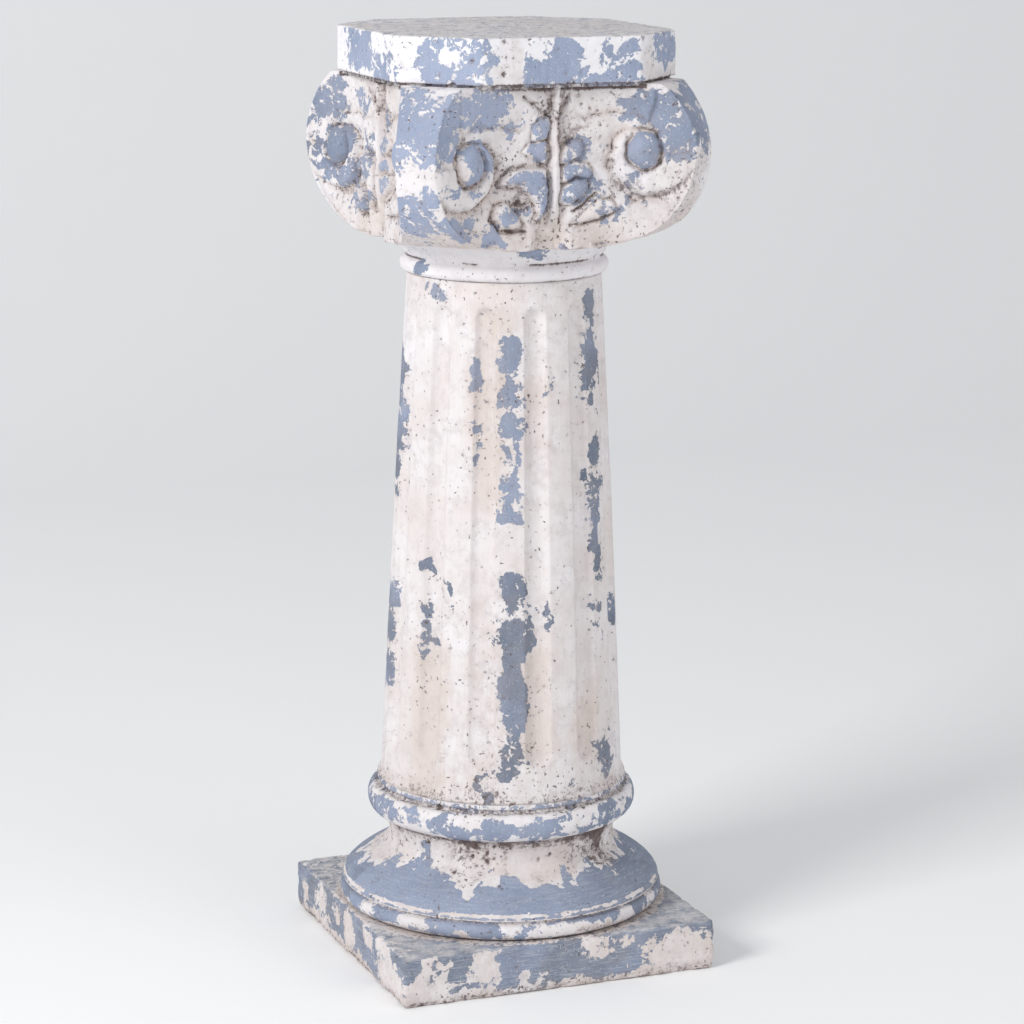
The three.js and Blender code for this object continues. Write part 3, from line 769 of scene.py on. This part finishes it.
capital = skin("capital", rings, [0, 0, 636], [0, 0, 745.5])
print("capital:", len(capital.data.vertices), "points")

# %% [markdown]
# The drums' upper halves, the eyes and the leaves are rubbed to blue. Dark wax lies in the creases,
# scratches and low ground, but nowhere so thick that the paint's own fine pattern can't break it up.
# The two hidden faces repeat the worn places of the front. A dark band along the top, under the slab,
# is partly wax and partly painted shade.

# %% Capital: where its paint is worn
seen_blue = [
    (-137, 716, 12, 14, 1), (-136, 736, 13, 8, 0.7), (-137, 695, 15, 9, 0.7), (-142, 645, 12, 23, 0.7),
    (-134, 662, 5, 10, 0.7), (-134, 637, 5, 13, 0.6), (-126, 726, 3, 13, 1), (-116, 727, 6, 12, 1),
    (-123, 737, 2, 4, 0.8), (-106, 710, 2, 4, 0.9), (-94, 708, 4, 8, 0.9), (-95, 691, 4, 7, 0.8),
    (-99, 669, 8, 7, 1), (-94, 653, 4, 13, 1), (-110, 643, 2, 7, 0.9), (-106, 645, 2, 5, 0.8),
    (-116, 629, 3, 7, 1), (-126, 637, 2, 9, 0.9), (-124, 672, 3, 9, 0.6), (-88, 617, 4, 2, 0.8),
    (-80, 693, 5, 8, 0.8), (-79, 676, 5, 7, 0.8), (-79, 661, 6, 9, 0.9), (-68, 643, 3, 6, 0.6),
    (-63, 727, 3, 8, 0.9), (-56, 722, 5, 9, 1), (-52, 690, 1.5, 24, 0.9), (-60, 665, 2, 8, 0.8),
    (-52, 733, 7, 9, 0.9), (-45, 712, 8, 14, 1), (-46, 694, 5, 9, 0.6), (-46, 735, 9, 8, 0.9),
    (145, 721, 5, 18, 0.8), (162, 722, 5, 8, 0.8), (-174, 717, 7, 8, 0.7), (140, 681, 3, 9, 0.7),
    (144, 664, 3, 6, 0.7), (151, 659, 4, 11, 0.8), (157, 667, 3, 8, 0.7), (167, 685, 8, 7, 0.6),
    (170, 664, 8, 13, 0.7), (161, 647, 9, 7, 0.7), (-122, 686, 3.5, 13, 1), (-58, 690, 3.5, 13, 1),
    (148, 688, 3.5, 12, 1)]
hidden_blue = [(middle + 180, *rest) for middle, *rest in seen_blue if -140 < middle < -62]
cream = [(-137, 677, 16, 7, 1), (-52, 672, 8, 14, 0.9), (-50, 648, 9, 14, 0.7)]
worn = patchy(turn, stray_level, seen_blue + hidden_blue, 2) * (1 - patchy(turn, stray_level, cream))
from_middle = np.tile(np.pad(np.abs(across), ((0, 0), (0, rim_columns)), constant_values=99), 4)
speckled = step(26, 8, from_middle[0])
low = step(650, 622, level)
halo = levelled(crease, 4)
wax = 0.12 + 0.19 * crease * step(0.3, 0.6, grain(body, 11, 19)) + 0.16 * halo + 0.16 * sunken
wax = wax + 0.12 * scratched * step(0.35, 0.6, grain(body, 9, 23)) + 0.03 * speckled + 0.1 * cracked
wax = wax + 0.05 * low + dents * 0.16
wax = np.minimum(wax, 0.3 + 0.12 * step(0.8, 1.2, crease))
# Painted shade: a dark band on the capital's top rows beneath the slab's overhang, partly dark wax in the
# joint and partly painted shade under the slab.
corner_cut = (np.abs(body[..., 0]) + np.abs(body[..., 1]) - 192) / math.sqrt(2)
shaded_under_slab = step(2, 0, np.maximum(np.abs(body[..., :2]).max(-1) - 123, corner_cut))
wax = wax + 0.32 * step(740.5, 742.5, level) * shaded_under_slab * step(0.35, 0.55, grain(body, 40, 3))
on_ridge = step(6, 4, from_middle)
kept_coat = (1 - 0.6 * sunken * (worn < 0.6)) * (1 - 0.7 * on_ridge)
worn = np.maximum((0.16 + 0.7 * worn) * kept_coat, 0.85 * eye_paint)
warm = 0.5 + 0.3 * low + 0.15 * speckled + 0.5 * sunken + 0.3 * cracked + 0.7 * foot_of_ridge


def with_ends(grid):
    """The same numbers, and nothing on the hidden rows below and above the carved body."""
    return np.pad(grid, ((3, 2), (0, 0)))


# The slate share, rising from turn -100 to -60, is painted shade on the side turned away from the left
# light, over a little of the paint's own slate tone.
note(capital, worn=with_ends(worn), grey=with_ends(0.3 * cracked), warm=with_ends(warm), wax=with_ends(wax),
     slate=with_ends(0.15 + 0.4 * step(-100, -60, turn)), flow=0)
print("capital, share in blue:", round(float((worn > 0.5).mean()), 2))

# %% [markdown]
# The slab is a square with its corners cut off. Under it runs a narrow crease, and the dark line
# between slab and capital is painted on both, partly as dark wax and partly as painted shade.

# %% Slab
slab_half = 123
slab_corner = 54
slab_foot = 747
slab_top = 785


def eight_corners(inset):
    h = slab_half - inset
    c = slab_corner - inset * (2 - math.sqrt(2))
    return np.array([[c - h, -h], [h - c, -h], [h, c - h], [h, h - c], [h - c, h], [c - h, h],
                     [-h, h - c], [-h, c - h]], float)


def round_outline(corners, columns):
    closed = np.vstack([corners, corners[:1]])
    gaps = np.linalg.norm(np.diff(closed, axis=0), axis=1)
    way = np.concatenate([[0], np.cumsum(gaps)])
    places = np.arange(columns) / columns * way[-1]
    return np.stack([np.interp(places, way, closed[:, 0]), np.interp(places, way, closed[:, 1])], -1)


outline = round_outline(eight_corners(0), 520)
inner = round_outline(eight_corners(4), 520)
rows = [np.column_stack([inner * 0.5, np.full(520, 744.0)]), np.column_stack([inner, np.full(520, 744.0)]),
        np.column_stack([inner, np.full(520, slab_foot - 0.5)])]
rows += [np.column_stack([outline * k, np.full(520, slab_foot)]) for k in (0.985, 0.993)]
rows += [np.column_stack([outline, np.full(520, z)]) for z in np.linspace(slab_foot, slab_top, 26)]
rows += [np.column_stack([outline * k, np.full(520, slab_top)]) for k in np.linspace(0.985, 0.04, 56)]
rings = soften(np.array(rows), 3)
rings[4:32] = (np.roll(rings, 1, 0)[4:32] + 2 * rings[4:32] + np.roll(rings, -1, 0)[4:32]) / 4
to_top = np.abs(rings[..., 2] - slab_top)
from_side = slab_half - np.abs(rings[..., :2]).max(-1)
edge = np.exp(-(to_top + np.maximum(from_side, 0)) / 5)
edge[:4] = 0
chips = 5 * edge * np.maximum(grain(rings, 14, 21) - 0.5, 0)
rough = 0.6 * grain(rings, 30, 13) + 0.3 * grain(rings, 6, 7)
dents = pits(rings, 200, 41, 1.2, 3.4)
rings = rings - outward(rings) * (chips + rough + dents)[..., None]
rings[..., 2] = np.minimum(rings[..., 2], slab_top)
slab = skin("slab", rings, [0, 0, 744], [0, 0, slab_top - 0.4])
top = step(0.6, 0.95, outward(rings)[..., 2])
slab_blue = [
    (175, 769, 13, 17, 1), (-155, 768, 3, 10, 0.6), (-161, 754, 8, 6, 0.9), (-137, 768, 4, 12, 0.9),
    (-135, 757, 4, 8, 0.9), (-125, 781, 6, 4, 0.7), (-124, 767, 3, 8, 0.7), (-123, 753, 3, 7, 0.9),
    (-116, 762, 1, 15, 0.9), (-94, 758, 10, 11, 1.1), (-89, 774, 5, 9, 1.1), (-75, 751, 8, 5, 1),
    (-71, 769, 2, 8, 0.8), (-64, 772, 3, 9, 0.9), (-64, 753, 3, 8, 0.9), (-116, 782, 2, 3, 0.7),
    (-39, 771, 13, 13, 0.8), (-32, 760, 7, 10, 0.5)]
around = slab_blue + [(middle + 170, *rest) for middle, *rest in slab_blue if -140 < middle < -30]
turn, level = strayed(rings, turn_of(rings), rings[..., 2])
pink = patchy(turn, level, [(-110, 765, 4, 19, 1), (-54, 762, 4, 16, 0.7), (-38, 751, 12, 6, 0.8)])
worn = patchy(turn, level, around, 2.5) * (1 - pink)
# The darker band at the slab's foot, the last term of the wax share, is partly wax and partly painted shade
# where slab meets capital.
note(slab, worn=(0.12 + 0.75 * worn) * (1 - top) + 0.4 * top, warm=0.15 + 0.5 * pink + 0.6 * top,
     slate=0.1 + 0.4 * top, grey=0.75 * top, flow=top,
     wax=0.08 - 0.05 * top + 0.1 * pink + dents * 0.14 + 0.25 * step(749.5, 747.5, rings[..., 2]))
print("slab:", len(slab.data.vertices), "points")

# %% [markdown]
# All pieces share one paint. From below to above it is a slate blue, a chalky white that is rubbed
# through in patches, and dark wax that stays in pits and creases. The darker slate blue is partly the
# paint's own tone and partly painted shade on the sides turned from the left light, and the dark wax
# also paints a shade line under the slab. The numbers kept with the points say where each of them is
# likely, and fine random patterns draw the ragged edges.

# %% Chalk paint
def chalk_paint(material):
    material.use_nodes = True
    tree = material.node_tree
    tree.nodes.clear()

    def m(kind, *values):
        return maths(tree, kind, *values)

    def kept(name):
        return add(tree, "ShaderNodeAttribute", attribute_name=name).outputs["Fac"]

    def pattern(scale, detail, rough=0.6, stretch=None, distortion=0.0):
        vector = here
        if stretch:
            vector = add(tree, "ShaderNodeVectorMath", {0: here, 1: stretch},
                         operation="MULTIPLY").outputs[0]
        return add(tree, "ShaderNodeTexNoise", {"Vector": vector, "Scale": scale, "Detail": detail,
                   "Roughness": rough, "Distortion": distortion}).outputs["Fac"]

    def blend(share, low, high):
        node = add(tree, "ShaderNodeMix", {0: share}, data_type="RGBA")
        sockets = [s for s in node.inputs if s.type == "RGBA"]
        for socket, value in zip(sockets, (low, high)):
            if isinstance(value, bpy.types.NodeSocket):
                tree.links.new(value, socket)
            else:
                socket.default_value = (*value, 1)
        return [s for s in node.outputs if s.type == "RGBA"][0]

    def blend_value(share, low, high):
        return m("ADD", low, m("MULTIPLY", share, m("SUBTRACT", high, low)))

    def ramp(value, low, high):
        return add(tree, "ShaderNodeMapRange",
                   {"Value": value, "From Min": low, "From Max": high}).outputs[0]

    here = add(tree, "ShaderNodeTexCoord").outputs["Object"]
    worn, warm, wax = kept("worn"), kept("warm"), kept("wax")
    grey, flow, slate = kept("grey"), kept("flow"), kept("slate")
    patches = m("ADD", m("MULTIPLY", pattern(130, 7, 0.6, distortion=0.5), 0.7),
                m("MULTIPLY", pattern(430, 4, 0.6), 0.3))
    limit = m("ADD", m("MULTIPLY", worn, 0.34), 0.32)
    white = ramp(m("SUBTRACT", patches, limit), -0.004, 0.004)
    strokes = pattern(1, 6, 0.7, stretch=(60, 60, 900))
    upright = pattern(1, 5, 0.7, stretch=(500, 500, 25))
    brush = blend_value(flow, upright, strokes)
    tone = ramp(m("ADD", m("MULTIPLY", pattern(14, 4, 0.6), 0.8), m("MULTIPLY", brush, 0.35)), 0.35, 0.75)
    clear_blue = blend(tone, (0.25, 0.30, 0.42), (0.40, 0.45, 0.59))
    # The dull blue is the clear blue made about half as bright: the paint's slate tone, and painted shade
    # where the slate share marks the side away from the left light.
    dull_blue_and_shade = blend(tone, (0.13, 0.155, 0.205), (0.235, 0.265, 0.335))
    blue_tone = blend(m("MULTIPLY", slate, ramp(pattern(12, 3), 0.25, 0.5)), clear_blue, dull_blue_and_shade)
    blue_tone = blend(m("MULTIPLY", flow, ramp(strokes, 0.5, 0.75)), blue_tone, (0.45, 0.48, 0.53))
    fine = ramp(pattern(650, 3, 0.6), 0.6, 0.66)
    blue_tone = blend(m("MULTIPLY", fine, 0.4), blue_tone, (0.6, 0.64, 0.72))
    wash = m("ADD", m("MULTIPLY", pattern(16, 4, 0.6), 0.7), m("MULTIPLY", upright, 0.3))
    stain = m("MULTIPLY", warm, ramp(wash, 0.28, 0.58))
    share = m("MULTIPLY", m("MAXIMUM", m("SUBTRACT", m("MINIMUM", warm, 0.8), 0.25), 0.0), 1.3)
    mottled = m("MULTIPLY", share, ramp(pattern(75, 7, 0.72), 0.48, 0.6))
    white_tone = blend(mottled, (0.82, 0.81, 0.84), (0.57, 0.54, 0.57))
    white_tone = blend(stain, white_tone, (0.67, 0.595, 0.56))
    coat = blend(white, blue_tone, white_tone)
    thin = m("MULTIPLY", ramp(m("SUBTRACT", patches, limit), 0.06, 0.0), ramp(pattern(30, 4), 0.5, 0.62))
    coat = blend(m("MULTIPLY", m("MULTIPLY", thin, white), 0.75), coat, (0.52, 0.51, 0.56))
    dull = blend(ramp(brush, 0.35, 0.65), (0.54, 0.53, 0.54), (0.76, 0.72, 0.70))
    coat = blend(m("MULTIPLY", grey, ramp(pattern(70, 6, 0.7), 0.35, 0.6)), coat, dull)
    sharp = m("ADD", m("MULTIPLY", pattern(230, 8, 0.75), 0.72), m("MULTIPLY", brush, 0.22))
    # Dark wax, dirt and a brown film. Along the line under the slab they are partly painted shade.
    darkening = ramp(m("ADD", wax, sharp), 0.735, 0.85)
    film_and_shade = ramp(m("ADD", wax, m("MULTIPLY", pattern(70, 7, 0.75), 0.7)), 0.45, 0.85)
    specks = m("MULTIPLY", ramp(m("ADD", pattern(300, 2, 0.5), m("MULTIPLY", wax, 0.4)), 0.725, 0.735),
               ramp(pattern(24, 3), 0.38, 0.5))
    speck_tone = blend(ramp(pattern(60, 2), 0.4, 0.6), (0.12, 0.085, 0.075), (0.27, 0.27, 0.3))
    coat = blend(m("MULTIPLY", specks, 0.9), coat, speck_tone)
    coat = blend(m("MULTIPLY", film_and_shade, 0.5), coat, (0.38, 0.30, 0.27))
    colour = blend(m("MULTIPLY", darkening, 0.85), coat, (0.085, 0.056, 0.05))
    relief = m("ADD", m("MULTIPLY", white, 0.5), m("MULTIPLY", pattern(420, 5, 0.75), 0.6))
    relief = m("SUBTRACT", relief, m("MULTIPLY", specks, 0.8))
    bump = add(tree, "ShaderNodeBump", {"Height": relief, "Distance": 0.0007, "Strength": 0.7})
    face = add(tree, "ShaderNodeBsdfPrincipled", {"Base Color": colour, "Roughness": 0.9,
               "Specular IOR Level": 0.2, "Normal": bump.outputs[0]})
    add(tree, "ShaderNodeOutputMaterial", {"Surface": face.outputs[0]})
    return material


chalk_paint(chalk)
for piece in (plinth, base, shaft, neck, capital, slab):
    if not piece.data.materials:
        piece.data.materials.append(chalk)
    smooth_shading(piece)
    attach(piece, "root")
    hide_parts("column")
print("paint:", len(chalk.node_tree.nodes), "nodes")
print("faces:", {p.name: len(p.data.polygons) for p in (plinth, base, shaft, neck, capital, slab)})

# %% [markdown]
# A pale floor that turns up behind the column, a wide soft light from the left and a weaker one from
# the right, as in a small studio.

# %% Floor and light
run = np.concatenate([np.linspace(-4, 2, 7)[:, None] * [1, 0], arc(2, 1.5, 1.5, 1.5, -90, 0, 12),
                      [[3.5, 6]]])
verts = [(x, y, z) for y, z in run for x in (-6, 6)]
faces = [(2 * i, 2 * i + 1, 2 * i + 3, 2 * i + 2) for i in range(len(run) - 1)]
mesh = bpy.data.meshes.new("floor")
mesh.from_pydata(verts, [], faces)
mesh.polygons.foreach_set("use_smooth", [True] * len(faces))
floor = bpy.data.objects.new("floor", mesh)
bpy.context.scene.collection.objects.link(floor)
pale = bpy.data.materials.new("pale floor")
pale.use_nodes = True
pale.node_tree.nodes["Principled BSDF"].inputs["Base Color"].default_value = (0.96, 0.96, 0.96, 1)
pale.node_tree.nodes["Principled BSDF"].inputs["Roughness"].default_value = 0.9
mesh.materials.append(pale)


def soft_light(name, place, size, power):
    data = bpy.data.lights.new(name, "AREA")
    data.size = size
    data.energy = power
    light = bpy.data.objects.new(name, data)
    bpy.context.scene.collection.objects.link(light)
    target = np.array([0, 0, 0.4])
    way = target - np.array(place)
    light.location = place
    light.rotation_euler = Vector(way).to_track_quat("-Z", "Y").to_euler()
    return light


soft_light("left light", (-2.8, -1.2, 2.0), 1.1, 69)
soft_light("right light", (1.6, -2.9, 1.2), 2.0, 24)
sky = bpy.data.worlds.new("pale room")
sky.use_nodes = True
sky.node_tree.nodes["Background"].inputs[0].default_value = (0.95, 0.97, 1.0, 1)
sky.node_tree.nodes["Background"].inputs[1].default_value = 0.56
bpy.context.scene.world = sky
bpy.context.scene.view_settings.view_transform = "Standard"

# %% [markdown]
# The camera stands as the photographer did: about 2.7 m away, a little left of the front and a little
# above the capital, with a long lens so that the upright lines hardly lean. Its place was fitted to the
# corners of the plinth and the slab.

# %% Camera
data = bpy.data.cameras.new("camera")
data.sensor_width = 36
data.lens = 115.17
camera = bpy.data.objects.new("camera", data)
bpy.context.scene.collection.objects.link(camera)
camera.matrix_world = (Matrix.Translation((-0.99656, -2.51784, 0.96457))
                       @ Matrix.Rotation(math.radians(-21.7612), 4, "Z")
                       @ Matrix.Rotation(math.radians(77.7676), 4, "X")
                       @ Matrix.Rotation(math.radians(0.3725), 4, "Z"))
bpy.context.scene.camera = camera
print("camera:", [round(v, 2) for v in camera.matrix_world.translation], "lens", round(data.lens, 1))
